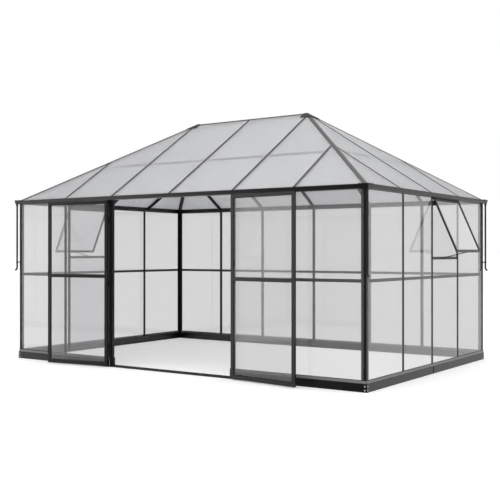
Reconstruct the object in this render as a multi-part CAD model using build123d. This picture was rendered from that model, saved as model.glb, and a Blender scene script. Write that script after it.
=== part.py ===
"""Glass greenhouse with a hipped roof, top-hung side vents and a double door that opens outwards.

Each wall and roof slope is drawn in its own frame: s runs along the wall, v runs inwards from the
outer face of the corner posts, and z runs up from the ground. The frame is then turned to its side.
"""
import os
from math import atan, cos, sqrt, tan

from build123d import *

# Overall sizes, in millimetres
LENGTH = 4510.0               # outside the corner posts, along X
WIDTH = 2960.0                # outside the corner posts, along Y
GUTTER_BOTTOM_Z = 1797.0
GUTTER_LIP_Z = 1838.0
ROOF_EDGE_Z = 1823.0          # outer face of the roof sheets at their lower edge
ROOF_APEX_Z = 2782.0          # where the outer faces of the roof sheets would meet
ROOF_EDGE_OUT = 20.0          # roof sheets past the corner posts
GUTTER_OUT = 37.0             # gutter past the corner posts

# Bays
DOOR_HALF = 801.0             # middle of the house to the middle of a door jamb
BAY = 700.0                   # spacing of the other bars of the walls
ROOF_SIDE_BAY = 750.0         # spacing of the bars of the end slopes
MID_RAIL_Z = 981.0            # middle of the rail behind the panes
TRANSOM_Z = 1174.0            # middle of the rail under a vent

# Glass
GLASS = 4.0
GLASS_FACE = 5.0              # outer face of the wall glass, inwards from the posts
EDGE_GAP = 1.0                # between a pane's edge and the bar beside it

# Glazing bars of the walls
CAP_WIDTH = 20.0
CAP_FACE = 1.0                # outer face of a bar's cap, inwards from the posts
WEB = 6.0                     # between two panes
FLANGE_WIDTH = 38.0
FLANGE = 4.0
STEM_WIDTH = 16.0
STEM_REACH = 17.0             # inner edge of a bar, inwards from the posts
RAIL_HEIGHT = 30.0
RAIL_DEPTH = 9.0

# Corner posts
POST_LEG = 48.0
POST_NOSE = 24.0
POST_WALL = 6.0

# Base frame, a folded channel with a ledge and a lip in front of the glass
BASE_PROUD = 8.0
BASE_REACH = 34.0             # inner edge, inwards from the posts
BASE_FACE_Z = 74.0
LEDGE_Z = 92.0
SILL_Z = 88.0
LIP_Z = 102.0
LIP_FACE = 1.0
SHEET = 3.0

# Gutter and eave beam
BEAM_REACH = 40.0
GUTTER_SHEET = 3.0
CORNER_COVER = 4.0
CORNER_COVER_LEG = 100.0
CORNER_COVER_DROP = 18.0      # below the gutter's lip
CORNER_COVER_WIDTH = 15.0     # of its top, inwards from the gutter's outer face

# Roof bars
ROOF_SHEET = 6.0
ROOF_CAP_WIDTH = 24.0
ROOF_CAP = 3.0                # above the sheets
ROOF_FLANGE_WIDTH = 34.0
ROOF_FLANGE = 5.0
ROOF_STEM_WIDTH = 8.0
ROOF_BAR_DEPTH = 40.0         # below the outer face of the sheets
PURLIN_IN = 630.0             # middle of a purlin, inwards from the posts
PURLIN_WIDTH = 34.0
PURLIN_DEPTH = 12.0
HIP_HALF_WIDTH = 24.0
HIP_STEM_WIDTH = 12.0
HIP_DEPTH = 48.0
RIDGE_HALF_WIDTH = 20.0
RIDGE_DEPTH = 60.0
RIDGE_CAP = 4.0
RIDGE_CAP_INNER = 45.0        # along the ridge from its end
RIDGE_CAP_OUTER = 105.0       # down the end slope from the ridge's end
RIDGE_CAP_HALF_WIDTH = 90.0

# Downpipes
PIPE_DIAMETER = 20.0
PIPE_WALL = 2.0
PIPE_OUT = 21.0               # middle of the pipe past both faces of the post
PIPE_END_Z = 1045.0           # where the shoe starts
PIPE_SHOE = 30.0
PIPE_BEND_RADIUS = 20.0

# Door opening
JAMB_WIDTH = 36.0
JAMB_FACE = 7.0               # front face of a jamb, inwards from the posts
JAMB_REACH = 35.0
JAMB_WALL = 3.0
JAMB_FLANGE = 16.0
THRESHOLD_Z = 26.0
THRESHOLD_EDGE_Z = 10.0
THRESHOLD_SLOPE = 8.0
FOOT_WIDTH = 14.0
FOOT_DEPTH = 24.0

# Door leaves, drawn closed and then swung to the pose of the photograph
LEAF_GAP = 5.0                # from a closed leaf to the jamb behind it and the gutter above it
LEAF_THICKNESS = 20.0
LEAF_MEETING_GAP = 6.0
LEAF_BOTTOM_Z = 10.0
LEAF_STILE = 38.0
LEAF_TOP_RAIL = 32.0
LEAF_BOTTOM_RAIL = 40.0
LEAF_MID_RAIL = 26.0
LEAF_MID_Z = 975.0
LEAF_OPEN_DEG = 172.0

# Door hinges
HINGE_CLEAR = 6.0             # pin to the leaf's edge, along the wall
HINGE_STAND = 2.0             # pin in front of the closed leaf's outer face
KNUCKLE_DIAMETER = 10.0
PIN_DIAMETER = 5.0
PIN_CLEAR = 0.05
KNUCKLE = 40.0
KNUCKLE_GAP = 0.4
HINGE_PLATE = 3.0
HINGE_PLATE_WIDTH = 26.0
BRACKET_ARM = 5.0
BRACKET_SEAT = 7.0            # width of the bracket's plate on the jamb's front face
HINGE_SHARES = (0.12, 0.5, 0.88)

# Side vents
VENT_OPEN_DEG = 24.0
VENT_BAR = 24.0
VENT_THICKNESS = 16.0
VENT_SIDE_GAP = 2.0
VENT_LAP = 9.0                # of a closed vent over the transom
VENT_STRIP = 14.0             # height of the hinge strip under the gutter
VENT_STRIP_OUT = 12.0
STAY_WIDTH = 14.0
STAY_THICKNESS = 8.0
STAY_FOOT = 18.0
STAY_SHARE = 0.5              # place of the stay across the vent

# Values worked out from the sizes above
HALF_RUN = WIDTH / 2
PITCH = atan((ROOF_APEX_Z - ROOF_EDGE_Z) / (HALF_RUN + ROOF_EDGE_OUT))
HIP_PITCH = atan(tan(PITCH) / sqrt(2))
RIDGE_HALF = LENGTH / 2 - HALF_RUN
FRONT_BARS = [-DOOR_HALF - BAY, -DOOR_HALF, 0, DOOR_HALF, DOOR_HALF + BAY]
SIDE_BARS = [-BAY, 0, BAY]
ROOF_SIDE_BARS = [-ROOF_SIDE_BAY, 0, ROOF_SIDE_BAY]
VENT_BAY = len(SIDE_BARS) // 2 + 1     # third bay of a side wall, from the left seen from outside
GLASS_BACK = GLASS_FACE + GLASS
ROOF_SEAT = ROOF_SHEET + ROOF_FLANGE
LEAF_BACK = JAMB_FACE - LEAF_GAP       # inner face of a closed leaf
LEAF_FRONT = LEAF_BACK - LEAF_THICKNESS
LEAF_TOP_Z = GUTTER_BOTTOM_Z - LEAF_GAP
PIN_S = DOOR_HALF + JAMB_WIDTH / 2 - BRACKET_SEAT
PIN_V = LEAF_FRONT - HINGE_STAND
TALL = 2 * ROOF_APEX_Z

SIDES = {
    "front": (0, LENGTH / 2, WIDTH / 2),
    "right": (90, WIDTH / 2, LENGTH / 2),
    "rear": (180, LENGTH / 2, WIDTH / 2),
    "left": (270, WIDTH / 2, LENGTH / 2),
}
MULLIONS = {"front": [FRONT_BARS[0], FRONT_BARS[-1]], "right": SIDE_BARS, "rear": FRONT_BARS,
            "left": SIDE_BARS}
ROOF_BARS = {"front": FRONT_BARS, "right": ROOF_SIDE_BARS, "rear": FRONT_BARS, "left": ROOF_SIDE_BARS}


def placed(side, shape):
    """Turn a shape from a wall's own frame to its side of the house."""
    angle, _, offset = SIDES[side]
    return Rot(0, 0, angle) * Pos(0, -offset, 0) * shape


def block(s, v, z):
    """A box between pairs of limits along s, v and z."""
    size = Box(s[1] - s[0], v[1] - v[0], z[1] - z[0])
    return Pos((s[0] + s[1]) / 2, (v[0] + v[1]) / 2, (z[0] + z[1]) / 2) * size


def upright(points, z):
    """A plan outline raised between two heights."""
    return Pos(0, 0, z[0]) * extrude(make_face(Polyline(*points, close=True)), z[1] - z[0])


def along_wall(points, half):
    """A (v, z) section run along a wall, past both of its ends."""
    section = Plane.YZ * make_face(Polyline(*points, close=True))
    return Pos(-half, 0, 0) * extrude(section, 2 * half, dir=(1, 0, 0))


def mitred(half, v):
    """The plan of a strip along a wall, cut at 45 degrees where it meets its neighbours."""
    low, high = [half - limit for limit in v]
    return upright([(-low, v[0]), (low, v[0]), (high, v[1]), (-high, v[1])], (0, TALL))


def slope_plan(half, margin, lower=-ROOF_EDGE_OUT):
    """The plan of a roof slope from a lower level up, clear of the hips and the ridge by a margin."""
    reach = half - margin * sqrt(2)
    top = min(HALF_RUN - RIDGE_HALF_WIDTH - (margin - HIP_HALF_WIDTH), reach)
    points = [(lower - reach, lower), (reach - lower, lower)]
    if reach - top > 0:
        points += [(reach - top, top), (top - reach, top)]
    else:
        points += [(0, top)]
    return upright(points, (0, TALL))


def roof_z(v, depth=0.0):
    """Height of the roof at v, a depth below the outer face of its sheets."""
    return ROOF_EDGE_Z + (v + ROOF_EDGE_OUT) * tan(PITCH) - depth / cos(PITCH)


def roof_slab(half, over, under):
    """A slab parallel to a roof slope, between two depths below the sheets' outer face."""
    low, high = -ROOF_EDGE_OUT, HALF_RUN
    points = [(low, roof_z(low, under)), (high, roof_z(high, under)),
              (high, roof_z(high, over)), (low, roof_z(low, over))]
    return along_wall(points, half + ROOF_EDGE_OUT)


# Base frame

def base_rail(side):
    """A folded channel: floor flange, outer face, sloping ledge, lip and sill."""
    half = SIDES[side][1]
    ledge_in = LIP_FACE + SHEET
    points = [(BASE_REACH, 0), (-BASE_PROUD, 0), (-BASE_PROUD, BASE_FACE_Z), (LIP_FACE, LEDGE_Z),
              (LIP_FACE, LIP_Z), (ledge_in, LIP_Z), (ledge_in, SILL_Z), (BASE_REACH, SILL_Z),
              (BASE_REACH, SILL_Z - SHEET), (ledge_in, SILL_Z - SHEET),
              (SHEET - BASE_PROUD, BASE_FACE_Z + SHEET), (SHEET - BASE_PROUD, SHEET), (BASE_REACH, SHEET)]
    rail = along_wall(points, half + BASE_PROUD)
    return rail & mitred(half, (-BASE_PROUD, BASE_REACH))


def front_base(sign):
    """The front rail on one side of the doorway."""
    edge = DOOR_HALF + JAMB_WIDTH / 2
    ends = sorted([sign * edge, sign * LENGTH])
    return base_rail("front") & block(ends, (-BASE_PROUD, BASE_REACH), (0, LIP_Z))


def threshold():
    """A low sill between the jambs, sloped at both edges."""
    points = [(JAMB_FACE, 0), (JAMB_REACH, 0), (JAMB_REACH, THRESHOLD_EDGE_Z),
              (JAMB_REACH - THRESHOLD_SLOPE, THRESHOLD_Z), (JAMB_FACE + THRESHOLD_SLOPE, THRESHOLD_Z),
              (JAMB_FACE, THRESHOLD_EDGE_Z)]
    return along_wall(points, DOOR_HALF - JAMB_WIDTH / 2)


def jamb_foot(sign):
    """A lug on the threshold that holds the foot of a jamb."""
    edge = DOOR_HALF - JAMB_WIDTH / 2
    middle = (JAMB_FACE + JAMB_REACH) / 2
    ends = sorted([sign * edge, sign * (edge - FOOT_WIDTH)])
    return block(ends, (middle - FOOT_DEPTH / 2, middle + FOOT_DEPTH / 2), (THRESHOLD_Z, LIP_Z))


# Uprights and rails

def corner_post():
    """An angle with a square nose outside the glass, drawn at the corner between s and v."""
    behind = GLASS_BACK + POST_WALL
    points = [(0, 0), (POST_NOSE, 0), (POST_NOSE, GLASS_BACK), (POST_LEG, GLASS_BACK), (POST_LEG, behind),
              (behind, behind), (behind, POST_LEG), (GLASS_BACK, POST_LEG), (GLASS_BACK, POST_NOSE),
              (0, POST_NOSE)]
    return upright(points, (LIP_Z, GUTTER_BOTTOM_Z))


def mullion(s):
    """A glazing bar: cap and web outside and between the panes, flange and stem behind them."""
    outside = block((s - CAP_WIDTH / 2, s + CAP_WIDTH / 2), (CAP_FACE, GLASS_FACE), (LIP_Z, GUTTER_BOTTOM_Z))
    web = block((s - WEB / 2, s + WEB / 2), (GLASS_FACE, GLASS_BACK), (LIP_Z, GUTTER_BOTTOM_Z))
    flange = block((s - FLANGE_WIDTH / 2, s + FLANGE_WIDTH / 2), (GLASS_BACK, GLASS_BACK + FLANGE),
                   (SILL_Z, GUTTER_BOTTOM_Z))
    stem = block((s - STEM_WIDTH / 2, s + STEM_WIDTH / 2), (GLASS_BACK + FLANGE, STEM_REACH),
                 (SILL_Z, GUTTER_BOTTOM_Z))
    return outside + web + flange + stem


def jamb(sign):
    """A square tube beside the doorway, with a flange behind the pane next to it."""
    s = (DOOR_HALF - JAMB_WIDTH / 2, DOOR_HALF + JAMB_WIDTH / 2)
    tube = block(s, (JAMB_FACE, JAMB_REACH), (0, GUTTER_BOTTOM_Z))
    tube -= block((s[0] + JAMB_WALL, s[1] - JAMB_WALL), (JAMB_FACE + JAMB_WALL, JAMB_REACH - JAMB_WALL),
                  (0, GUTTER_BOTTOM_Z))
    tube += block((s[1], s[1] + JAMB_FLANGE), (GLASS_BACK, GLASS_BACK + FLANGE), (SILL_Z, GUTTER_BOTTOM_Z))
    return tube if sign > 0 else mirror(tube, about=Plane.YZ)


def rail(s, z):
    """A rail between two uprights, behind the panes."""
    return block(s, (GLASS_BACK, GLASS_BACK + RAIL_DEPTH), (z - RAIL_HEIGHT / 2, z + RAIL_HEIGHT / 2))


def transom(s):
    """The rail under a vent, with a web over the edge of the pane below."""
    web = block(s, (GLASS_FACE - CAP_FACE, GLASS_BACK), (TRANSOM_Z - WEB / 2, TRANSOM_Z + WEB / 2))
    return rail(s, TRANSOM_Z) + web


def bays(side):
    """The bays of a wall as (pane limits, rail limits) along s, in order."""
    half = SIDES[side][1]
    marks = [(-half + POST_NOSE, -half + POST_LEG)]
    spans = []
    for s in MULLIONS[side]:
        spans.append((marks[-1], (s - WEB / 2, s - FLANGE_WIDTH / 2)))
        marks.append((s + WEB / 2, s + FLANGE_WIDTH / 2))
    spans.append((marks[-1], (half - POST_NOSE, half - POST_LEG)))
    if side == "front":
        jamb_edge = DOOR_HALF + JAMB_WIDTH / 2
        door = (jamb_edge, jamb_edge + JAMB_FLANGE)
        left, right = spans[1]
        spans[1:2] = [(left, (-door[0], -door[1])), (door, right)]
    return [((a[0] + EDGE_GAP, b[0] - EDGE_GAP), (a[1], b[1])) for a, b in spans]


def wall_panes(side):
    """The panes of a wall, each from the base to the gutter, or to the transom under a vent."""
    panes = []
    for number, (pane, _) in enumerate(bays(side)):
        vented = side in ("left", "right") and number == VENT_BAY
        head = TRANSOM_Z - WEB / 2 if vented else GUTTER_BOTTOM_Z
        panes.append(block(pane, (GLASS_FACE, GLASS_BACK), (SILL_Z, head - EDGE_GAP)))
    return panes


# Eaves and roof

def eave(side):
    """Gutter and eave beam in one profile, mitred at the corners."""
    half = SIDES[side][1]
    floor = GUTTER_BOTTOM_Z + GUTTER_SHEET
    front = GUTTER_SHEET - GUTTER_OUT
    outer = [(-GUTTER_OUT, GUTTER_LIP_Z), (-GUTTER_OUT, GUTTER_BOTTOM_Z), (BEAM_REACH, GUTTER_BOTTOM_Z),
             (BEAM_REACH, roof_z(BEAM_REACH, ROOF_SEAT)), (0, roof_z(0, ROOF_SEAT)), (0, floor),
             (front, floor), (front, GUTTER_LIP_Z)]
    wall = (GUTTER_SHEET, BEAM_REACH - GUTTER_SHEET)
    under = ROOF_SEAT + GUTTER_SHEET
    hollow = [(wall[0], floor), (wall[1], floor), (wall[1], roof_z(wall[1], under)),
              (wall[0], roof_z(wall[0], under))]
    profile = along_wall(outer, half + GUTTER_OUT) - along_wall(hollow, half + GUTTER_OUT)
    return profile & mitred(half, (-GUTTER_OUT, BEAM_REACH))


def corner_cover():
    """An angle over the joint of two gutters, drawn at the corner between s and v."""
    outer = -GUTTER_OUT - CORNER_COVER
    end = CORNER_COVER_LEG - GUTTER_OUT

    def corner(inner, z):
        points = [(outer, outer), (end, outer), (end, inner), (inner, inner), (inner, end), (outer, end)]
        return upright(points, z)

    skirt = corner(-GUTTER_OUT, (GUTTER_LIP_Z - CORNER_COVER_DROP, GUTTER_LIP_Z))
    return skirt + corner(CORNER_COVER_WIDTH - GUTTER_OUT, (GUTTER_LIP_Z, GUTTER_LIP_Z + CORNER_COVER))


def rafters(side):
    """The bars of one slope, each cut where it meets the ridge or a hip."""
    half = SIDES[side][1]
    over = slope_plan(half, HIP_HALF_WIDTH)
    inside = slope_plan(half, HIP_HALF_WIDTH, lower=BEAM_REACH)
    bars = []
    for s in ROOF_BARS[side]:
        reach = (-ROOF_EDGE_OUT, HALF_RUN)
        cap = block((s - ROOF_CAP_WIDTH / 2, s + ROOF_CAP_WIDTH / 2), reach, (0, TALL))
        web = block((s - WEB / 2, s + WEB / 2), reach, (0, TALL))
        flange = block((s - ROOF_FLANGE_WIDTH / 2, s + ROOF_FLANGE_WIDTH / 2), reach, (0, TALL))
        stem = block((s - ROOF_STEM_WIDTH / 2, s + ROOF_STEM_WIDTH / 2), reach, (0, TALL))
        bar = cap & roof_slab(half, -ROOF_CAP, 0)
        bar += web & roof_slab(half, 0, ROOF_SHEET)
        bar += flange & roof_slab(half, ROOF_SHEET, ROOF_SEAT)
        bar = bar & over
        bar += stem & roof_slab(half, ROOF_SEAT, ROOF_BAR_DEPTH) & inside
        bars.append(bar)
    return bars


def roof_sheets(side):
    """The sheets of one slope, each from the gutter to the ridge or a hip."""
    half = SIDES[side][1]
    covered = roof_slab(half, 0, ROOF_SHEET) & slope_plan(half, HIP_HALF_WIDTH + EDGE_GAP)
    edges = [-half - ROOF_EDGE_OUT, *ROOF_BARS[side], half + ROOF_EDGE_OUT]
    clear = WEB / 2 + EDGE_GAP
    sheets = []
    for left, right in zip(edges[:-1], edges[1:]):
        bay = block((left + clear, right - clear), (-ROOF_EDGE_OUT, HALF_RUN), (0, TALL))
        sheets += (covered & bay).solids()
    return sheets


def purlins(side):
    """Flat bars across a slope under its sheets, from each bar to the next or to a hip."""
    half = SIDES[side][1]
    slab = roof_slab(half, ROOF_SHEET, ROOF_SHEET + PURLIN_DEPTH) & slope_plan(half, HIP_HALF_WIDTH)
    half_width = PURLIN_WIDTH / 2 * cos(PITCH)
    band = (PURLIN_IN - half_width, PURLIN_IN + half_width)
    seat = ROOF_FLANGE_WIDTH / 2
    bars = []
    for left, right in zip(ROOF_BARS[side][:-1], ROOF_BARS[side][1:]):
        bars += (slab & block((left + seat, right - seat), band, (0, TALL))).solids()
    return bars


def hip(x_sign, y_sign):
    """A hip bar: a folded cover over the sheets' edges and a stem below, from eave corner to ridge end."""
    slope = tan(PITCH) * cos(HIP_PITCH) / sqrt(2)
    lift = cos(HIP_PITCH) / cos(PITCH)

    def section(half_width, over, under):
        drop = half_width * slope
        return make_face(Polyline((-half_width, over * lift - drop), (0, over * lift),
                                  (half_width, over * lift - drop), (half_width, under * lift - drop),
                                  (0, under * lift), (-half_width, under * lift - drop), close=True))

    foot = Vector(x_sign * (LENGTH / 2 + ROOF_EDGE_OUT), y_sign * (HALF_RUN + ROOF_EDGE_OUT), ROOF_EDGE_Z)
    head = Vector(x_sign * RIDGE_HALF, 0, ROOF_APEX_Z)
    line = (head - foot).normalized()
    across = Vector(0, 0, 1).cross(line).normalized()
    plane = Plane(origin=foot, x_dir=across, z_dir=line)
    run = (head - foot).length
    cover = extrude(plane * section(HIP_HALF_WIDTH, ROOF_CAP, -ROOF_SEAT), run, both=True)
    stem = extrude(plane * section(HIP_STEM_WIDTH / 2, -ROOF_SEAT, -HIP_DEPTH), run, both=True)
    for_x = [sorted([0, x_sign * (LENGTH / 2 + out)]) for out in (ROOF_EDGE_OUT, -BEAM_REACH)]
    for_y = [sorted([y_sign * RIDGE_HALF_WIDTH, y_sign * (HALF_RUN + out)])
             for out in (ROOF_EDGE_OUT, -BEAM_REACH)]
    cover = cover & block(for_x[0], for_y[0], (0, TALL))
    return cover + (stem & block(for_x[1], for_y[1], (0, TALL)))


def ridge():
    """The ridge beam under the tops of the long slopes."""
    edge = RIDGE_HALF_WIDTH
    top = ROOF_APEX_Z + ROOF_CAP / cos(PITCH)
    shoulder = top - edge * tan(PITCH)
    points = [(-edge, shoulder), (0, top), (edge, shoulder), (edge, ROOF_APEX_Z - RIDGE_DEPTH),
              (-edge, ROOF_APEX_Z - RIDGE_DEPTH)]
    return along_wall(points, RIDGE_HALF + edge) & hipped_block(ROOF_CAP)


def hipped_block(over):
    """The solid under all four roof slopes, raised by a height over the sheets."""
    base = ROOF_EDGE_Z + over / cos(PITCH)
    rise = ROOF_APEX_Z - ROOF_EDGE_Z
    run, reach = HALF_RUN + ROOF_EDGE_OUT, LENGTH / 2 + ROOF_EDGE_OUT
    across = along_wall([(-run, base), (run, base), (0, base + rise)], reach)
    ends = make_face(Polyline((-reach, base), (reach, base), (RIDGE_HALF, base + rise),
                              (-RIDGE_HALF, base + rise), close=True))
    return across & extrude(Plane.XZ * ends, run, both=True)


def ridge_cap(sign):
    """A folded plate over the joint of the ridge with two hips."""
    ends = sorted([sign * (RIDGE_HALF - RIDGE_CAP_INNER), sign * (RIDGE_HALF + RIDGE_CAP_OUTER)])
    shell = hipped_block(ROOF_CAP + RIDGE_CAP) - hipped_block(ROOF_CAP)
    return shell & block(ends, (-RIDGE_CAP_HALF_WIDTH, RIDGE_CAP_HALF_WIDTH), (0, TALL))


def downpipe(x_sign, y_sign):
    """A short pipe under a gutter corner, with its shoe turned away from the house."""
    out = Vector(x_sign, y_sign, 0).normalized()
    top = Vector(x_sign * (LENGTH / 2 + PIPE_OUT), y_sign * (HALF_RUN + PIPE_OUT), GUTTER_BOTTOM_Z)
    bend = Vector(top.X, top.Y, PIPE_END_Z)
    end = bend + (out - Vector(0, 0, 1)).normalized() * PIPE_SHOE
    path = FilletPolyline(top, bend, end, radius=PIPE_BEND_RADIUS)
    ring = Circle(PIPE_DIAMETER / 2) - Circle(PIPE_DIAMETER / 2 - PIPE_WALL)
    return sweep(Plane(origin=top, z_dir=(0, 0, -1)) * ring, path=path)


# Vents

def vent():
    """A top-hung vent, swung open under its hinge strip: frame, pane and stay in the wall's frame."""
    bar_left, bar_right = SIDE_BARS[VENT_BAY - 1], SIDE_BARS[VENT_BAY]
    clear = CAP_WIDTH / 2 + VENT_SIDE_GAP
    s = (bar_left + clear, bar_right - clear)
    axis_z = GUTTER_BOTTOM_Z - VENT_STRIP
    foot_z = TRANSOM_Z + RAIL_HEIGHT / 2 - VENT_LAP
    depth = (-VENT_THICKNESS, 0)
    opening = (s[0] + VENT_BAR, s[1] - VENT_BAR)
    light = (foot_z + VENT_BAR, axis_z - VENT_BAR)
    middle = -VENT_THICKNESS / 2
    swing = Pos(0, 0, axis_z) * Rot(-VENT_OPEN_DEG, 0, 0) * Pos(0, 0, -axis_z)
    frame = swing * (block(s, depth, (foot_z, axis_z)) - block(opening, depth, light))
    pane = swing * block(opening, (middle - GLASS / 2, middle + GLASS / 2), light)
    strip = block(s, (-VENT_STRIP_OUT, GLASS_FACE), (axis_z, GUTTER_BOTTOM_Z))
    stay_s = s[0] + (s[1] - s[0]) * STAY_SHARE
    span = (stay_s - STAY_WIDTH / 2, stay_s + STAY_WIDTH / 2)
    seat_v = GLASS_FACE - CAP_FACE
    foot = block(span, (seat_v - STAY_THICKNESS, seat_v), (TRANSOM_Z - WEB / 2, TRANSOM_Z + STAY_FOOT))
    shoe = swing * block(span, (0, STAY_THICKNESS), (foot_z, foot_z + STAY_FOOT))
    start = Vector(stay_s, seat_v - STAY_THICKNESS / 2, TRANSOM_Z + STAY_FOOT / 2)
    end = shoe.center()
    arm = end - start
    bar = Plane(origin=start, x_dir=(1, 0, 0), z_dir=arm) * Rectangle(STAY_WIDTH, STAY_THICKNESS)
    stay = foot + extrude(bar, arm.length) + shoe - frame
    return frame + strip, pane, stay


# Doors

def leaf():
    """The right leaf, closed: its frame and its panes."""
    edge = PIN_S - HINGE_CLEAR
    s = (LEAF_MEETING_GAP / 2, edge)
    v = (LEAF_FRONT, LEAF_BACK)
    mid = (LEAF_MID_Z - LEAF_MID_RAIL / 2, LEAF_MID_Z + LEAF_MID_RAIL / 2)
    lights = [(LEAF_BOTTOM_Z + LEAF_BOTTOM_RAIL, mid[0]), (mid[1], LEAF_TOP_Z - LEAF_TOP_RAIL)]
    inner = (s[0] + LEAF_STILE, s[1] - LEAF_STILE)
    middle = (v[0] + v[1]) / 2
    frame = block(s, v, (LEAF_BOTTOM_Z, LEAF_TOP_Z))
    for light in lights:
        frame -= block(inner, v, light)
    panes = [block(inner, (middle - GLASS / 2, middle + GLASS / 2), light) for light in lights]
    return frame, panes


def hinge_heights():
    """Middles of a leaf's hinges."""
    return [LEAF_BOTTOM_Z + (LEAF_TOP_Z - LEAF_BOTTOM_Z) * share for share in HINGE_SHARES]


def barrel(diameter, z):
    """An upright cylinder on the pin line of the right leaf."""
    return Pos(PIN_S, PIN_V, (z[0] + z[1]) / 2) * Cylinder(diameter / 2, z[1] - z[0])


def leaf_hinge(z):
    """The moving knuckle and its plate on the closed leaf's outer face."""
    span = (z - KNUCKLE / 2, z + KNUCKLE / 2)
    width = (PIN_S - HINGE_CLEAR - HINGE_PLATE_WIDTH, PIN_S)
    plate = block(width, (LEAF_FRONT - HINGE_PLATE, LEAF_FRONT), span)
    return plate + barrel(KNUCKLE_DIAMETER, span) - barrel(PIN_DIAMETER + 2 * PIN_CLEAR, span)


def jamb_hinge(z):
    """The bracket on the jamb, with a knuckle above and below the leaf's and the pin through all three."""
    spans = [(z - KNUCKLE, z - KNUCKLE / 2 - KNUCKLE_GAP), (z + KNUCKLE / 2 + KNUCKLE_GAP, z + KNUCKLE)]
    tall = (z - KNUCKLE, z + KNUCKLE)
    part = barrel(PIN_DIAMETER, tall)
    part += block((PIN_S, PIN_S + BRACKET_SEAT), (JAMB_FACE - HINGE_PLATE, JAMB_FACE), tall)
    for span in spans:
        part += barrel(KNUCKLE_DIAMETER, span)
        part += block((PIN_S, PIN_S + BRACKET_ARM), (PIN_V, JAMB_FACE), span)
    return part


def swung(sign, shapes):
    """Open a closed right leaf's pieces, and mirror them for the left leaf."""
    turn = Pos(PIN_S, PIN_V, 0) * Rot(0, 0, LEAF_OPEN_DEG) * Pos(-PIN_S, -PIN_V, 0)
    opened = [turn * shape for shape in shapes]
    return opened if sign > 0 else [mirror(shape, about=Plane.YZ) for shape in opened]


def build():
    """Every node, as a list of solids by name."""
    nodes = {}
    for name, sign in (("left", -1), ("right", 1)):
        nodes[f"base_front_{name}"] = [placed("front", front_base(sign))]
        nodes[f"base_{name}"] = [placed(name, base_rail(name))]
        nodes[f"{name}_door_jamb"] = [placed("front", jamb(sign))]
    nodes["base_rear"] = [placed("rear", base_rail("rear"))]
    nodes["door_threshold"] = [placed("front", threshold())]
    nodes["jamb_feet"] = [placed("front", jamb_foot(sign)) for sign in (-1, 1)]

    corners = {"front_left": ("front", -1, -1), "front_right": ("right", 1, -1),
               "rear_right": ("rear", 1, 1), "rear_left": ("left", -1, 1)}
    covers, pipes, hips, bands = [], [], [], []
    for name, (side, x_sign, y_sign) in corners.items():
        turned = Pos(x_sign * LENGTH / 2, y_sign * HALF_RUN, 0) * Rot(0, 0, SIDES[side][0])
        nodes[f"corner_post_{name}"] = [turned * corner_post()]
        covers.append(turned * corner_cover())
        pipes.append(downpipe(x_sign, y_sign))
        hips.append(hip(x_sign, y_sign))
    nodes["gutter_corners"] = covers
    nodes["downpipes"] = pipes
    nodes["hip_bars"] = hips

    for side in SIDES:
        nodes[f"{side}_mullions"] = [placed(side, mullion(s)) for s in MULLIONS[side]]
        nodes[f"{side}_mid_rails"] = [placed(side, rail(span, MID_RAIL_Z)) for _, span in bays(side)]
        nodes[f"{side}_wall_glass"] = [placed(side, pane) for pane in wall_panes(side)]
        nodes[f"{side}_eave"] = [placed(side, eave(side))]
        nodes[f"{side}_rafters"] = [placed(side, bar) for bar in rafters(side)]
        nodes[f"{side}_roof_sheets"] = [placed(side, sheet) for sheet in roof_sheets(side)]
        bands += [placed(side, purlin) for purlin in purlins(side)]
    nodes["roof_purlins"] = bands
    nodes["ridge_beam"] = [ridge()]
    nodes["ridge_caps"] = [ridge_cap(-1), ridge_cap(1)]

    for side in ("left", "right"):
        frame, pane, stay = vent()
        nodes[f"{side}_vent_frame"] = [placed(side, frame)]
        nodes[f"{side}_vent_glass"] = [placed(side, pane)]
        nodes[f"{side}_vent_stay"] = [placed(side, stay)]
        nodes[f"{side}_vent_transom"] = [placed(side, transom(bays(side)[VENT_BAY][1]))]

    frame, panes = leaf()
    heights = hinge_heights()
    brackets = [jamb_hinge(z) for z in heights]
    brackets += [mirror(bracket, about=Plane.YZ) for bracket in brackets]
    nodes["jamb_hinges"] = [placed("front", bracket) for bracket in brackets]
    for name, sign in (("left", -1), ("right", 1)):
        nodes[f"{name}_door_frame"] = [placed("front", part) for part in swung(sign, [frame])]
        nodes[f"{name}_door_glass"] = [placed("front", part) for part in swung(sign, panes)]
        knuckles = [leaf_hinge(z) for z in heights]
        nodes[f"{name}_door_hinges"] = [placed("front", part) for part in swung(sign, knuckles)]
    return nodes


nodes = build()
whole = Compound([solid for shapes in nodes.values() for shape in shapes for solid in shape.solids()])
middle = whole.bounding_box().center()
home = Pos(-middle.X, -middle.Y, 0)
os.makedirs("parts", exist_ok=True)
for name, shapes in nodes.items():
    solids = [home * solid for shape in shapes for solid in shape.solids()]
    export_step(solids[0] if len(solids) == 1 else Compound(solids), f"parts/{name}.step")
print("nodes", len(nodes), "shift of the house along Y", round(-middle.Y, 4), "pin", PIN_S, PIN_V)
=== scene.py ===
"""Glass greenhouse: finishes for its bars, glass and pipes, its small fittings, and a plain white studio."""
from math import cos, pi, radians, sin, tan

import bmesh
import bpy
from mathutils import Matrix, Vector


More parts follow.
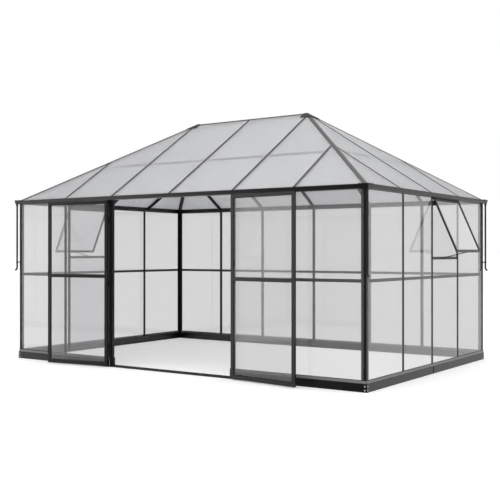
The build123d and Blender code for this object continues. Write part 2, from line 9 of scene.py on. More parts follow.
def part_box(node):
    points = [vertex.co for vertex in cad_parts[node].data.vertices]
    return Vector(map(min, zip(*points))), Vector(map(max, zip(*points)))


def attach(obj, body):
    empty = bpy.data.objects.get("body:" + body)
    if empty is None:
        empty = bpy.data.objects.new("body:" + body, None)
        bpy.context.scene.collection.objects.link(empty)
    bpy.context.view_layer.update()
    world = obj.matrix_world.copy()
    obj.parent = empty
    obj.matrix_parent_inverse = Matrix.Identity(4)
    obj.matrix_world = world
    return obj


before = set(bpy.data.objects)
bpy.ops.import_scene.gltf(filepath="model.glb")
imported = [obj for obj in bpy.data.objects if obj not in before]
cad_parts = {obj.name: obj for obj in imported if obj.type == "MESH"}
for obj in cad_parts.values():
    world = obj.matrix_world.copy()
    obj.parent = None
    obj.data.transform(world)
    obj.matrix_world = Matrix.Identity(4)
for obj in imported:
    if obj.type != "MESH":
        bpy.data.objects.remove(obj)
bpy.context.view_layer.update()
MM = 0.001

house_low, house_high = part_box("base_left")
HOUSE_Y = (house_low[1] + house_high[1]) / 2     # middle of the house, which the open doors shift

# The camera, fitted to the photograph's corners and bars
CAMERA_PLACE = (5.7599, HOUSE_Y - 8.3935, 1.2330)
CAMERA_TURN_DEG = 34.467
CAMERA_RISE_DEG = 0.1605
CAMERA_LENS_MM = 62.95
CAMERA_SENSOR_MM = 36.0

# Sizes of the house that the fittings follow, in millimetres.
# On a wall s is along it from its middle, v inwards from the face of its posts, and z up
HALF_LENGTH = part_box("corner_post_front_right")[1][0] / MM
HALF_WIDTH = (HOUSE_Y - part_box("corner_post_front_right")[0][1]) / MM
WALL_TURNS_DEG = {"front": 0.0, "right": 90.0, "rear": 180.0, "left": 270.0}
WALL_HALVES = {"front": (HALF_LENGTH, HALF_WIDTH), "right": (HALF_WIDTH, HALF_LENGTH),
               "rear": (HALF_LENGTH, HALF_WIDTH), "left": (HALF_WIDTH, HALF_LENGTH)}
WALLS = tuple(WALL_TURNS_DEG)
SIDE_WALLS = ("left", "right")
JOINED_WALLS = ("right", "rear", "left")         # their base rails have a joint in the middle
# Corners of the house: left or right, front or rear, and the turn in degrees from the first
CORNERS = ((1, -1, 0.0), (1, 1, 90.0), (-1, 1, 180.0), (-1, -1, 270.0))
ENDS = (-1, 1)
DOOR_BAR, FRONT_BAR, SIDE_BAR = 801.0, 1501.0, 700.0      # bars from the middle of their wall
JAMB_EDGE, JAMB_FACE = 819.0, 7.0
CAP_HALF, POST_NOSE, POST_LEG = 10.0, 24.0, 48.0
GLASS_FACE, GLASS_BACK = 5.0, 9.0
BASE_PROUD, LIP_Z = 8.0, 102.0
GUTTER_Z, GUTTER_FACE = 1797.0, 41.0
RAIL_LOW_Z, RAIL_HIGH_Z = 966.0, 996.0
VENT_BAY, TRANSOM_LOW_Z = 2, 1170.0
PIN_S, PIN_V, LEAF_OPEN_DEG = 812.0, -20.0, 172.0
LEAF_LIGHT_S = (41.0, 768.0)
LEAF_LIGHTS_Z = ((50.0, 962.0), (988.0, 1760.0))
LEAF_GLASS_FACES = (-10.0, -6.0)
HINGE_Z = (223.84, 901.0, 1578.16)
VENT_AXIS_Z, VENT_OPEN_DEG = 1783.0, 24.0
VENT_LIGHT_S, VENT_LIGHT_Z, VENT_GLASS_FACE = (36.0, 664.0), (1204.0, 1759.0), -10.0
STAY_S, STAY_FACE, STAY_PIN_Z = 350.0, -4.0, 1183.0
PIPE_OUT, PIPE_RADIUS, PIPE_CLIP_Z = 21.0, 10.0, 1120.0
RIDGE_HALF, ROOF_APEX_Z, ROOF_PITCH_DEG, RIDGE_CAP_OVER = 775.0, 2782.0, 32.59, 7.0

# Sizes of the fittings themselves, in millimetres
SEAL_GAP = 0.2
BOLT = {"radius": 6.0, "washer": 7.5, "height": 3.5}
SCREW = {"radius": 3.2, "washer": 4.2, "height": 1.8}
HEAD_SIDES, HEAD_STEPS = 14, 3
BOLT_FROM_CORNER, BOLT_HEIGHTS = 21.0, (19.0, 54.0)
SPLICE_S, SPLICE_Z, SPLICE_SHEET = (-11.0, 11.0), (4.0, 71.0), 2.0
SPLICE_FACE, SPLICE_BOLT_HEIGHTS = -BASE_PROUD - SPLICE_SHEET, (16.0, 38.0, 60.0)
SILL_V, SILL_Z = (-6.0, 0.8), (76.0, 101.5)
GASKET_WIDTH, GASKET_PROUD, GASKET_CHAMFER = 4.0, 2.0, 1.0
BED_WIDTH, BED_DEPTH = 9.0, 3.0
JAMB_SEAL_S, JAMB_SEAL_DEPTH, JAMB_SEAL_Z = (785.0, 808.0), 3.5, (4.0, 1788.0)
JAMB_FLAP_S, JAMB_FLAP_OUT = (808.0, 811.0), -12.0
JAMB_CAP_EDGE, CAP_FACE = 840.0, 1.0
COLLAR_WALL, COLLAR_EDGE, COLLAR_HEIGHT, COLLAR_SIDES = 3.0, 0.6, 22.0, 16
CLIP_HEIGHT, CLIP_ARM = 12.0, 17.0
CORNER_SCREW_PLACES, CORNER_SCREW_Z = (30.0, 52.0), 1829.0
RIVET_ALONG, RIVET_DOWN, RIVET_END, RIVET_SIDE = 750.0, 55.0, 845.0, 25.0
LUG_BOLT_S, LUG_BOLT_V, LUG_BOLT_Z = 769.0, 21.0, 64.0
HINGE_SCREW_S, HINGE_PLATE_FACE, HINGE_SCREW_LIFTS = 790.0, -21.0, (-11.0, 11.0)

# How the fittings are shaped
BEAD_ROUNDING, SILL_ROUNDING = 0.3, 0.2          # of the thinnest side of a bar
BEVEL_STEPS = 2
SMOOTH_ANGLE_DEG = 35.0
SAME_WAY = 0.98                                  # cosine above which a face looks along a direction

# Finishes
COAT_IOR = 1.5                                   # near enough for coats, glass and plastic alike
SKIN_DEPTH_MM = 0.2
WAVE_STRENGTH, WAVE_DEPTH_MM = 0.05, 1.0
GLASS_ROUGHNESS, OPAL_ROUGHNESS = (0.0, 0.04), (0.5, 0.6)

# Studio, in metres and watts
WHITE, PAPER, CLOTH_BLACK = "#ffffff", "#e6e6e6", "#020202"
FLOOR_HALF = (300.0, 300.0)
INNER_HALF, INNER_LIFT = (2.22, 1.445), 1.0 * MM
MIRROR_LEVEL = 0.80           # of the room as coated bars and glass mirror it
THROUGH_LEVEL = 0.75          # of the room and its floor as seen through the panes
FLOOR_GLOW = 0.30             # what the floor adds for the camera, so that it is white
INNER_GLOW = 0.30             # the same for the floor inside the house
INNER_THROUGH = 0.84          # of the floor inside the house as seen through the panes
FLAG_ENDS, FLAG_Z = ((-6.4, -12.85), (9.0, -16.0)), (-8.0, 9.0)
LAMPS = (
    {"name": "top_lamp", "place": (0.0, -1.0, 9.0), "aim": (0.0, 0.0, 0.0), "size": 8.0, "watts": 300.0},
    {"name": "right_lamp", "place": (7.0, 11.0, 6.0), "aim": (2.2, 0.5, 1.0), "size": 4.0, "watts": 320.0,
     "mirrored": False},
    {"name": "left_lamp", "place": (-10.5, -9.8, 1.2), "aim": (-1.0, -1.5, 1.0), "size": 4.5, "watts": 70.0,
     "colour": "#fff4ea"})


def linear(code):
    """A linear colour from an sRGB hex code."""
    shares = [int(code[at:at + 2], 16) / 255 for at in (1, 3, 5)]
    return [s / 12.92 if s <= 0.04045 else ((s + 0.055) / 1.055) ** 2.4 for s in shares] + [1.0]


def add(tree, kind, inputs=None, **settings):
    """Add a node with its settings, and fill or link its inputs."""
    node = tree.nodes.new(kind)
    for name, value in settings.items():
        setattr(node, name, value)
    for name, value in (inputs or {}).items():
        if isinstance(value, bpy.types.NodeSocket):
            tree.links.new(value, node.inputs[name])
        else:
            node.inputs[name].default_value = value
    return node


def fresh_material(name):
    """A new material, its tree with no nodes but the output, and that output."""
    material = bpy.data.materials.new(name)
    material.use_nodes = True
    tree = material.node_tree
    tree.nodes.clear()
    return material, tree, tree.nodes.new("ShaderNodeOutputMaterial")


def per_metre(millimetres):
    """The scale of a pattern on Object coordinates whose features are this large."""
    return 1.0 / (millimetres * MM)


def solid_finish(name, colours, roughness, grit_mm, bump, speckle_mm=60.0):
    """An opaque finish: a fine orange-peel skin, with a slow drift of colour and gloss along the piece."""
    material, tree, output = fresh_material(name)
    place = add(tree, "ShaderNodeTexCoord").outputs["Object"]
    drift = add(tree, "ShaderNodeTexNoise", {"Vector": place, "Scale": per_metre(speckle_mm), "Detail": 4.0})
    colour = add(tree, "ShaderNodeValToRGB", {"Fac": drift.outputs["Fac"]})
    for stop, code in zip(colour.color_ramp.elements, colours):
        stop.color = linear(code)
    gloss = add(tree, "ShaderNodeMapRange", {
        "Value": drift.outputs["Fac"], "To Min": roughness[0], "To Max": roughness[1]})
    grit = add(tree, "ShaderNodeTexNoise", {"Vector": place, "Scale": per_metre(grit_mm), "Detail": 2.0})
    skin = add(tree, "ShaderNodeBump", {
        "Height": grit.outputs["Fac"], "Strength": bump, "Distance": SKIN_DEPTH_MM * MM})
    shader = add(tree, "ShaderNodeBsdfPrincipled", {
        "Base Color": colour.outputs["Color"], "Roughness": gloss.outputs["Result"],
        "Normal": skin.outputs["Normal"], "IOR": COAT_IOR})
    tree.links.new(shader.outputs["BSDF"], output.inputs["Surface"])
    return material


def pane_glass(name, tint, haze, smear_mm=180.0):
    """Toughened glass: clear with a faint haze, and slow waves and smears that only its gloss shows."""
    material, tree, output = fresh_material(name)
    place = add(tree, "ShaderNodeTexCoord").outputs["Object"]
    smear = add(tree, "ShaderNodeTexNoise", {"Vector": place, "Scale": per_metre(smear_mm), "Detail": 3.0})
    gloss = add(tree, "ShaderNodeMapRange", {
        "Value": smear.outputs["Fac"], "To Min": GLASS_ROUGHNESS[0], "To Max": GLASS_ROUGHNESS[1]})
    wave = add(tree, "ShaderNodeBump", {
        "Height": smear.outputs["Fac"], "Strength": WAVE_STRENGTH, "Distance": WAVE_DEPTH_MM * MM})
    glass = add(tree, "ShaderNodeBsdfPrincipled", {
        "Base Color": linear(tint), "Roughness": gloss.outputs["Result"], "IOR": COAT_IOR,
        "Transmission Weight": 1.0 - haze, "Normal": wave.outputs["Normal"]})
    lamp_ray = add(tree, "ShaderNodeLightPath").outputs["Is Shadow Ray"]
    through = add(tree, "ShaderNodeBsdfTransparent", {"Color": linear(tint)})
    mix = add(tree, "ShaderNodeMixShader", {"Fac": lamp_ray})
    tree.links.new(glass.outputs["BSDF"], mix.inputs[1])
    tree.links.new(through.outputs["BSDF"], mix.inputs[2])
    tree.links.new(mix.outputs["Shader"], output.inputs["Surface"])
    return material


def opal_sheet(name, colours, clearness, drift_mm=400.0):
    """Opal twin-wall plastic: milky, so that only what touches it from below shows as a soft shade."""
    material, tree, output = fresh_material(name)
    place = add(tree, "ShaderNodeTexCoord").outputs["Object"]
    drift = add(tree, "ShaderNodeTexNoise", {"Vector": place, "Scale": per_metre(drift_mm), "Detail": 2.0})
    colour = add(tree, "ShaderNodeValToRGB", {"Fac": drift.outputs["Fac"]})
    for stop, code in zip(colour.color_ramp.elements, colours):
        stop.color = linear(code)
    gloss = add(tree, "ShaderNodeMapRange", {
        "Value": drift.outputs["Fac"], "To Min": OPAL_ROUGHNESS[0], "To Max": OPAL_ROUGHNESS[1]})
    shader = add(tree, "ShaderNodeBsdfPrincipled", {
        "Base Color": colour.outputs["Color"], "Roughness": gloss.outputs["Result"], "IOR": COAT_IOR,
        "Transmission Weight": clearness})
    tree.links.new(shader.outputs["BSDF"], output.inputs["Surface"])
    return material


# The grit of each surface is finer in life, and is drawn a few millimetres wide so that it shows

# Aluminium bars in black powder coat: near black, satin, pale only where they mirror the room
black_bar = solid_finish("black_powder_coated_aluminium", ("#0c0c0d", "#141415"),
                         roughness=(0.26, 0.36), grit_mm=4.0, bump=0.15)
# Flat bars under the roof in bare aluminium: dull grey, a soft line through the sheets
bare_bar = solid_finish("mill_finish_aluminium", ("#58595b", "#646567"),
                        roughness=(0.45, 0.55), grit_mm=6.0, bump=0.1)
# Ridge caps in a matt coat: black even where they face the sky
matt_cap = solid_finish("matt_black_powder_coat", ("#070708", "#0d0d0e"),
                        roughness=(0.62, 0.72), grit_mm=4.0, bump=0.15)
# Hinges in coated steel: the same black as the bars, a little glossier
black_hinge = solid_finish("black_coated_steel", ("#0d0d0e", "#18181a"),
                           roughness=(0.22, 0.32), grit_mm=3.0, bump=0.12)
# Downpipes in moulded plastic: flatter black
black_pipe = solid_finish("moulded_black_plastic", ("#101011", "#1a1a1b"),
                          roughness=(0.42, 0.5), grit_mm=2.0, bump=0.2)
# Wall panes: clear but for a dusty veil that greys the bars behind them
wall_glass = pane_glass("dusty_toughened_glass", "#fcfcfd", haze=0.085)
# Door panes: cleaner and faintly grey
door_glass = pane_glass("grey_toughened_glass", "#f3f3f4", haze=0.035)
# Roof: milky sheets that let light through and hide what lies behind them
roof_sheet = opal_sheet("opal_twin_wall_sheet", ("#f0f1f3", "#f6f7f9"), clearness=0.85)
# Bolts in bright zinc: pale grey specks with a soft sparkle
zinc = solid_finish("zinc_plated_steel", ("#b9babc", "#d0d1d3"),
                    roughness=(0.3, 0.42), grit_mm=2.0, bump=0.1, speckle_mm=8.0)
# Sill beads in flat mid grey: a painted highlight that stands for the sheen on the base's sloped ledge
sill_sheen_grey = solid_finish("grey_painted_sill_sheen", ("#747577", "#7e7f81"),
                          roughness=(0.5, 0.6), grit_mm=3.0, bump=0.1)
# Gaskets and seals in rubber: dull black
rubber = solid_finish("black_glazing_rubber", ("#0b0b0c", "#121213"),
                      roughness=(0.62, 0.74), grit_mm=2.0, bump=0.2)

# The house's own pieces, by the end of their names; all others are black bars
FINISHES = (("roof_sheets", roof_sheet), ("door_glass", door_glass), ("glass", wall_glass),
            ("ridge_caps", matt_cap), ("roof_purlins", bare_bar), ("downpipes", black_pipe),
            ("hinges", black_hinge))
for name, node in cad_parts.items():
    node.data.materials.clear()
    node.data.materials.append(next((finish for end, finish in FINISHES if name.endswith(end)), black_bar))


# Fittings: each is modelled once, lying on the ground, and its copies are set on the house

def middle(limits):
    """Half way between two limits."""
    return sum(limits) / 2


def on_half(end, limits):
    """Limits given for the right half of a wall, on that half or mirrored to the left."""
    return sorted(end * limit for limit in limits)


def in_house(x, y, z):
    """A place in the frame, from millimetres right of, behind and above the middle of the house."""
    return Vector((x, y, z)) * MM + Vector((0.0, HOUSE_Y, 0.0))


def on_wall(side, s, v, z):
    """A place in the frame, from a wall's own: along it, inwards from its posts, and up."""
    place = Vector((s, v - WALL_HALVES[side][1], z))
    return in_house(*(Matrix.Rotation(radians(WALL_TURNS_DEG[side]), 3, "Z") @ place))


def facing_out(side, tilt_deg=0.0):
    """The turn that stands a piece up on a wall, its top pointing away from the house."""
    return (pi / 2 - radians(tilt_deg), 0.0, radians(WALL_TURNS_DEG[side]))


def start(name, finish, primitive, **sizes):
    """Add a primitive by itself, in its finish, and open it for editing."""
    bpy.ops.object.select_all(action="DESELECT")
    primitive(**sizes)
    piece = bpy.context.object
    piece.name = piece.data.name = name
    piece.data.materials.append(finish)
    bpy.ops.object.mode_set(mode="EDIT")
    return piece


def pick_faces(piece, direction):
    """Select the faces that look along a direction, and nothing else."""
    bpy.ops.mesh.select_mode(type="FACE")
    bpy.ops.mesh.select_all(action="DESELECT")
    mesh = bmesh.from_edit_mesh(piece.data)
    for face in mesh.faces:
        face.select_set(face.normal.dot(direction) > SAME_WAY)
    bmesh.update_edit_mesh(piece.data)


def move(x, y, z):
    """Move what is selected."""
    bpy.ops.transform.translate(value=(x, y, z))


def extrude(x, y, z):
    """Extrude what is selected, and move the new faces."""
    bpy.ops.mesh.extrude_region_move(TRANSFORM_OT_translate={"value": (x, y, z)})


def settle(piece, place, turn):
    """Set a selected piece on the house, with its place and turn in its mesh."""
    piece.location, piece.rotation_euler = place, turn
    bpy.ops.object.transform_apply(location=True, rotation=True, scale=True)
    return piece


def close(piece, place=(0.0, 0.0, 0.0), turn=(0.0, 0.0, 0.0)):
    """Leave editing, smooth the rounded edges and set the piece on the house."""
    bpy.ops.object.mode_set(mode="OBJECT")
    bpy.ops.object.shade_smooth_by_angle(angle=radians(SMOOTH_ANGLE_DEG))
    return settle(piece, place, turn)


def copy_to(pattern, places):
    """Copies of a finished piece at each place and turn; the pattern itself is deleted."""
    copies = []
    for place, turn in places:
        bpy.ops.object.select_all(action="DESELECT")
        bpy.context.view_layer.objects.active = pattern
        pattern.select_set(True)
        bpy.ops.object.duplicate(linked=False)
        copies.append(settle(bpy.context.object, place, turn))
    bpy.data.objects.remove(pattern)
    return copies


def fitted(name, pieces, body):
    """Join pieces of one kind into one that rides on a body."""
    bpy.ops.object.select_all(action="DESELECT")
    for piece in pieces:
        piece.select_set(True)
    bpy.context.view_layer.objects.active = pieces[0]
    bpy.ops.object.join()
    whole = bpy.context.view_layer.objects.active
    whole.name = whole.data.name = name
    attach(whole, body)


def pan_head(name, finish, radius, washer, height):
    """A screw's domed head on its washer: washer, side and dome each take one step of its height."""
    step = height / HEAD_STEPS * MM
    piece = start(name, finish, bpy.ops.mesh.primitive_cylinder_add, vertices=HEAD_SIDES,
                  radius=washer * MM, depth=step, location=(0.0, 0.0, step / 2))
    pick_faces(piece, Vector((0.0, 0.0, 1.0)))
    bpy.ops.mesh.inset(thickness=(washer - radius) * MM)
    extrude(0.0, 0.0, step)
    bpy.ops.mesh.inset(thickness=radius / HEAD_STEPS * MM)
    move(0.0, 0.0, step)
    return close(piece)


def bead(name, finish, s, v, z, side, rounding=BEAD_ROUNDING):
    """A bar with rounded edges on a wall, between limits along it, inwards and up."""
    sizes = Vector((s[1] - s[0], v[1] - v[0], z[1] - z[0])) * MM
    piece = start(name, finish, bpy.ops.mesh.primitive_cube_add, size=1.0, scale=sizes)
    bpy.ops.mesh.bevel(offset=min(sizes) * rounding, segments=BEVEL_STEPS, affect="EDGES")
    place = on_wall(side, middle(s), middle(v), middle(z))
    return close(piece, place, (0.0, 0.0, radians(WALL_TURNS_DEG[side])))


def gasket(s, z):
    """A rubber strip round a pane of these limits, lying flat, with a bevelled upper face; left open."""
    piece = start("gasket", rubber, bpy.ops.mesh.primitive_plane_add, size=1.0)
    bpy.ops.transform.resize(value=((s[1] - s[0]) * MM, (z[1] - z[0]) * MM, 1.0))
    bpy.ops.mesh.inset(thickness=GASKET_WIDTH * MM)
    bpy.ops.mesh.delete(type="FACE")
    bpy.ops.mesh.select_all(action="SELECT")
    extrude(0.0, 0.0, GASKET_PROUD / 2 * MM)
    bpy.ops.mesh.inset(thickness=GASKET_CHAMFER * MM)
    move(0.0, 0.0, GASKET_PROUD / 2 * MM)
    bpy.ops.mesh.select_all(action="SELECT")
    bpy.ops.mesh.normals_make_consistent(inside=False)
    return piece


def pane_limits(side):
    """The clear width of each pane of a wall, between the caps and posts beside it."""
    half = WALL_HALVES[side][0]
    bars = [-FRONT_BAR, -DOOR_BAR, 0.0, DOOR_BAR, FRONT_BAR]
    if side in SIDE_WALLS:
        bars = [-SIDE_BAR, 0.0, SIDE_BAR]
    edges = [(bar - CAP_HALF, bar + CAP_HALF) for bar in bars]
    if side == "front":
        edges = [edges[0], (-JAMB_CAP_EDGE, JAMB_CAP_EDGE), edges[-1]]
    edges = [(0.0, POST_NOSE - half)] + edges + [(half - POST_NOSE, 0.0)]
    return [(a[1] + SEAL_GAP, b[0] - SEAL_GAP) for a, b in zip(edges[:-1], edges[1:])]


def swung(end, place):
    """A place on a closed leaf, in the front wall's frame, swung to where the leaf stands open."""
    pin = on_wall("front", end * PIN_S, PIN_V, 0.0)
    turn = Matrix.Rotation(end * radians(LEAF_OPEN_DEG), 3, "Z")
    return turn @ (place - pin) + pin


def ring(height, arm):
    """A plastic ring round a downpipe, with an arm towards the post if it is a clip."""
    piece = start("ring", black_pipe, bpy.ops.mesh.primitive_cylinder_add, vertices=COLLAR_SIDES,
                  end_fill_type="NOTHING", radius=(PIPE_RADIUS + COLLAR_WALL) * MM, depth=height * MM,
                  rotation=(0.0, 0.0, pi / COLLAR_SIDES))
    if arm:
        inwards = Vector((-1.0, 1.0, 0.0)).normalized()
        pick_faces(piece, inwards)
        extrude(*(inwards * arm * MM))
    bpy.ops.object.mode_set(mode="OBJECT")
    wall = piece.modifiers.new("wall", "SOLIDIFY")
    wall.thickness, wall.offset = COLLAR_WALL * MM, -1.0
    edge = piece.modifiers.new("edge", "BEVEL")
    edge.width, edge.segments, edge.limit_method = COLLAR_EDGE * MM, BEVEL_STEPS, "ANGLE"
    for modifier in ("wall", "edge"):
        bpy.ops.object.modifier_apply(modifier=modifier)
    return close(piece)


# Two bolts on each face of each base corner
places = [(on_wall(side, end * (WALL_HALVES[side][0] + BASE_PROUD - BOLT_FROM_CORNER), -BASE_PROUD, z),
           facing_out(side)) for side in WALLS for end in ENDS for z in BOLT_HEIGHTS]
fitted("base_corner_bolts", copy_to(pan_head("bolt", zinc, **BOLT), places), "house")

# A joint cover in the middle of the side and rear rails, with three dark bolts
plates = [bead("plate", rubber, SPLICE_S, (SPLICE_FACE, -BASE_PROUD), SPLICE_Z, side)
          for side in JOINED_WALLS]
fitted("base_joint_covers", plates, "house")
places = [(on_wall(side, 0.0, SPLICE_FACE, z), facing_out(side))
          for side in JOINED_WALLS for z in SPLICE_BOLT_HEIGHTS]
fitted("base_joint_bolts", copy_to(pan_head("bolt", black_hinge, **SCREW), places), "house")

# Grey beads on the ledge of the base, stopped at the doorway; their grey is a painted highlight for the
# ledge's sheen
runs = [("front", (-HALF_LENGTH, -JAMB_EDGE)), ("front", (JAMB_EDGE, HALF_LENGTH)),
        ("right", (-HALF_WIDTH, HALF_WIDTH)), ("rear", (-HALF_LENGTH, HALF_LENGTH)),
        ("left", (-HALF_WIDTH, HALF_WIDTH))]
beads = [bead("bead", sill_sheen_grey, s, SILL_V, SILL_Z, side, SILL_ROUNDING) for side, s in runs]
fitted("sill_sheen_beads", beads, "house")

# Rubber round each wall pane outside, and beside the posts' legs inside
gaskets = []
for side in WALLS:
    for number, s in enumerate(pane_limits(side)):
        under_vent = side in SIDE_WALLS and number == VENT_BAY
        z = (LIP_Z + SEAL_GAP, TRANSOM_LOW_Z if under_vent else GUTTER_Z - SEAL_GAP)
        place = on_wall(side, middle(s), GLASS_FACE, middle(z))
        gaskets.append(close(gasket(s, z), place, facing_out(side)))
fitted("pane_gaskets", gaskets, "house")
beds = []
for side in WALLS:
    leg = WALL_HALVES[side][0] - POST_LEG
    for end in ENDS:
        for z in ((LIP_Z, RAIL_LOW_Z), (RAIL_HIGH_Z, GUTTER_Z)):
            beds.append(bead("bed", rubber, on_half(end, (leg - BED_WIDTH, leg)),
                             (GLASS_BACK, GLASS_BACK + BED_DEPTH), z, side))
fitted("post_glazing_beds", beds, "house")

# Seals on the front of the jambs, each with a flap in the hinge gap
seals = [bead("seal", rubber, on_half(end, s), (v, JAMB_FACE), JAMB_SEAL_Z, "front") for end in ENDS
         for s, v in ((JAMB_SEAL_S, JAMB_FACE - JAMB_SEAL_DEPTH), (JAMB_FLAP_S, JAMB_FLAP_OUT))]
fitted("jamb_seals", seals, "house")

# A cap beside each jamb, over the edge of the pane, and a bolt in the jamb's lug
caps = [bead("cap", black_bar, on_half(end, (JAMB_EDGE + SEAL_GAP, JAMB_CAP_EDGE)), (CAP_FACE, GLASS_FACE),
             (LIP_Z + SEAL_GAP, GUTTER_Z - SEAL_GAP), "front") for end in ENDS]
fitted("jamb_caps", caps, "house")
places = [(on_wall("front", end * LUG_BOLT_S, LUG_BOLT_V, LUG_BOLT_Z), (0.0, -end * pi / 2, 0.0))
          for end in ENDS]
fitted("jamb_lug_bolts", copy_to(pan_head("bolt", zinc, **SCREW), places), "house")

# Collars under the gutter and clips to the posts, on each downpipe
for name, height, arm, z in (("downpipe_collars", COLLAR_HEIGHT, 0.0, GUTTER_Z - COLLAR_HEIGHT / 2),
                             ("downpipe_clips", CLIP_HEIGHT, CLIP_ARM, PIPE_CLIP_Z)):
    places = [(in_house(x * (HALF_LENGTH + PIPE_OUT), y * (HALF_WIDTH + PIPE_OUT), z),
               (0.0, 0.0, radians(turn_deg))) for x, y, turn_deg in CORNERS]
    fitted(name, copy_to(ring(height, arm), places), "house")

# Screws on the gutter's corner angles
places = [(on_wall(side, end * (WALL_HALVES[side][0] + GUTTER_FACE - along), -GUTTER_FACE, CORNER_SCREW_Z),
           facing_out(side)) for side in WALLS for end in ENDS for along in CORNER_SCREW_PLACES]
screws = copy_to(pan_head("screw", black_hinge, **SCREW), places)
fitted("gutter_corner_screws", screws, "house")

# Rivets on the ridge caps, over the long slopes and over the ends
pitch = radians(ROOF_PITCH_DEG)
top = ROOF_APEX_Z + RIDGE_CAP_OVER / cos(pitch)
slope_z = top - RIVET_DOWN * tan(pitch)
end_z = top - (RIVET_END - RIDGE_HALF) * tan(pitch)
places = [(in_house(x * RIVET_ALONG, y * RIVET_DOWN, slope_z), (-y * pitch, 0.0, 0.0))
          for x in ENDS for y in ENDS]
places += [(in_house(x * RIVET_END, y * RIVET_SIDE, end_z), (0.0, x * pitch, 0.0))
           for x in ENDS for y in ENDS]
fitted("ridge_cap_rivets", copy_to(pan_head("rivet", black_hinge, **SCREW), places), "house")

# Vents: rubber round the pane, and the pin of the stay
tilt = radians(VENT_OPEN_DEG)
below = VENT_AXIS_Z - middle(VENT_LIGHT_Z)
vent_v = VENT_GLASS_FACE * cos(tilt) - below * sin(tilt)
vent_z = VENT_AXIS_Z - VENT_GLASS_FACE * sin(tilt) - below * cos(tilt)
gaskets = [close(gasket(VENT_LIGHT_S, VENT_LIGHT_Z), on_wall(side, middle(VENT_LIGHT_S), vent_v, vent_z),
                 facing_out(side, VENT_OPEN_DEG)) for side in SIDE_WALLS]
fitted("vent_gaskets", gaskets, "house")
places = [(on_wall(side, STAY_S, STAY_FACE, STAY_PIN_Z), facing_out(side)) for side in SIDE_WALLS]
fitted("vent_stay_pins", copy_to(pan_head("pin", zinc, **SCREW), places), "house")

# Leaves: rubber round both faces of each pane, and the screws of the hinge plates
for body, end in (("left_door", -1), ("right_door", 1)):
    swing = end * radians(LEAF_OPEN_DEG)
    gaskets = []
    for z in LEAF_LIGHTS_Z:
        for v, face in zip(LEAF_GLASS_FACES, (0.0, pi)):
            place = swung(end, on_wall("front", end * middle(LEAF_LIGHT_S), v, middle(z)))
            gaskets.append(close(gasket(LEAF_LIGHT_S, z), place, (pi / 2, 0.0, swing + face)))
    fitted(f"{body}_gaskets", gaskets, body)
    places = [(swung(end, on_wall("front", end * HINGE_SCREW_S, HINGE_PLATE_FACE, z + lift)),
               (pi / 2, 0.0, swing)) for z in HINGE_Z for lift in HINGE_SCREW_LIFTS]
    fitted(f"{body}_hinge_screws", copy_to(pan_head("screw", zinc, **SCREW), places), body)


# Studio: a white floor that keeps the house's shadow, a white room and soft lamps

def white_floor(name, glow, through):
    """White paper: lit a little from within for the camera, and flat as seen through the panes."""
    material, tree, output = fresh_material(name)
    rays = add(tree, "ShaderNodeLightPath").outputs
    paper = add(tree, "ShaderNodeBsdfDiffuse", {"Color": linear(PAPER)})
    level = add(tree, "ShaderNodeMath", {0: rays["Is Camera Ray"], 1: glow}, operation="MULTIPLY")
    light = add(tree, "ShaderNodeEmission", {"Color": linear(WHITE), "Strength": level.outputs["Value"]})
    both = add(tree, "ShaderNodeAddShader")
    tree.links.new(paper.outputs["BSDF"], both.inputs[0])
    tree.links.new(light.outputs["Emission"], both.inputs[1])
    flat = add(tree, "ShaderNodeEmission", {"Color": linear(WHITE), "Strength": through})
    mix = add(tree, "ShaderNodeMixShader", {"Fac": rays["Is Transmission Ray"]})
    tree.links.new(both.outputs["Shader"], mix.inputs[1])
    tree.links.new(flat.outputs["Emission"], mix.inputs[2])
    tree.links.new(mix.outputs["Shader"], output.inputs["Surface"])
    return material


def stage_plane(name, half, y, height, glow, through):
    """A floor of white paper, from the halves of its sides."""
    finish = white_floor(f"{name}_white", glow, through)
    plane = start(name, finish, bpy.ops.mesh.primitive_plane_add, size=1.0)
    bpy.ops.transform.resize(value=(2 * half[0], 2 * half[1], 1.0))
    move(0.0, y, height)
    bpy.ops.object.mode_set(mode="OBJECT")
    plane.visible_glossy = False


def dark_flag(name):
    """A dark screen in front of the house that only gloss sees, so that the front bars stay black."""
    material, tree, output = fresh_material(f"{name}_black")
    cloth = add(tree, "ShaderNodeBsdfDiffuse", {"Color": linear(CLOTH_BLACK)})
    tree.links.new(cloth.outputs["BSDF"], output.inputs["Surface"])
    left, right = (Vector(end) for end in FLAG_ENDS)
    along, centre = right - left, (left + right) / 2
    flag = start(name, material, bpy.ops.mesh.primitive_plane_add, size=1.0)
    bpy.ops.transform.rotate(value=pi / 2, orient_axis="X", center_override=(0.0, 0.0, 0.0))
    bpy.ops.transform.resize(value=(along.length, 1.0, FLAG_Z[1] - FLAG_Z[0]))
    bpy.ops.transform.rotate(value=-along.angle_signed(Vector((1.0, 0.0))), orient_axis="Z",
                             center_override=(0.0, 0.0, 0.0))
    move(centre.x, centre.y, middle(FLAG_Z))
    bpy.ops.object.mode_set(mode="OBJECT")
    flag.visible_camera = flag.visible_diffuse = flag.visible_transmission = flag.visible_shadow = False


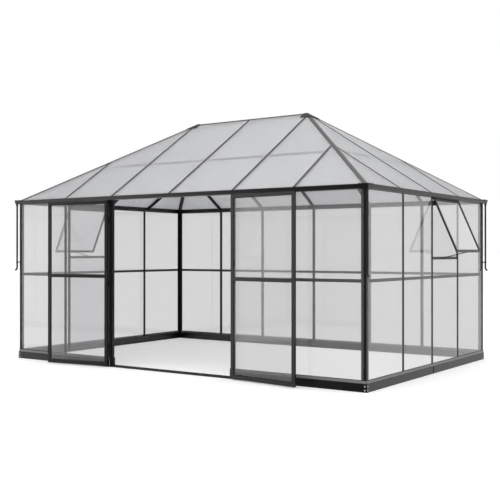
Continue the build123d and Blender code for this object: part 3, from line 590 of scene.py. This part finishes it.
def room():
    """A white room that lights the house, white behind it for the camera, and dimmer in glass and gloss."""
    world = bpy.data.worlds.new("studio_room")
    bpy.context.scene.world = world
    world.use_nodes = True
    tree = world.node_tree
    tree.nodes.clear()
    output = tree.nodes.new("ShaderNodeOutputWorld")
    rays = add(tree, "ShaderNodeLightPath").outputs
    mirrored = add(tree, "ShaderNodeMapRange", {
        "Value": rays["Is Glossy Ray"], "To Min": 1.0, "To Max": MIRROR_LEVEL})
    through = add(tree, "ShaderNodeMapRange", {
        "Value": rays["Is Transmission Ray"], "To Min": mirrored.outputs["Result"], "To Max": THROUGH_LEVEL})
    back = add(tree, "ShaderNodeBackground", {"Color": linear(WHITE), "Strength": through.outputs["Result"]})
    tree.links.new(back.outputs["Background"], output.inputs["Surface"])


def soft_lamp(name, place, aim, size, watts, colour=WHITE, mirrored=True):
    """A square soft lamp that lights the house and is seen only in gloss, or not there either."""
    data = bpy.data.lights.new(name, "AREA")
    data.size, data.energy, data.color = size, watts, linear(colour)[:3]
    lamp = bpy.data.objects.new(name, data)
    bpy.context.scene.collection.objects.link(lamp)
    lamp.location = place
    lamp.rotation_euler = (Vector(aim) - Vector(place)).to_track_quat("-Z", "Y").to_euler()
    lamp.visible_camera = False
    lamp.visible_transmission = False
    lamp.visible_glossy = mirrored


def camera():
    """The photograph's camera: level but for a slight rise, at the height of the panes."""
    data = bpy.data.cameras.new("photo_camera")
    data.lens, data.sensor_width = CAMERA_LENS_MM, CAMERA_SENSOR_MM
    eye = bpy.data.objects.new("photo_camera", data)
    bpy.context.scene.collection.objects.link(eye)
    eye.location = CAMERA_PLACE
    eye.rotation_euler = (pi / 2 + radians(CAMERA_RISE_DEG), 0.0, radians(CAMERA_TURN_DEG))
    bpy.context.scene.camera = eye


stage_plane("studio_floor", FLOOR_HALF, 0.0, 0.0, FLOOR_GLOW, THROUGH_LEVEL)
stage_plane("house_floor", INNER_HALF, HOUSE_Y, INNER_LIFT, INNER_GLOW, INNER_THROUGH)
dark_flag("dark_flag")
room()
for lamp in LAMPS:
    soft_lamp(**lamp)
camera()
bpy.context.scene.view_settings.view_transform = "Standard"
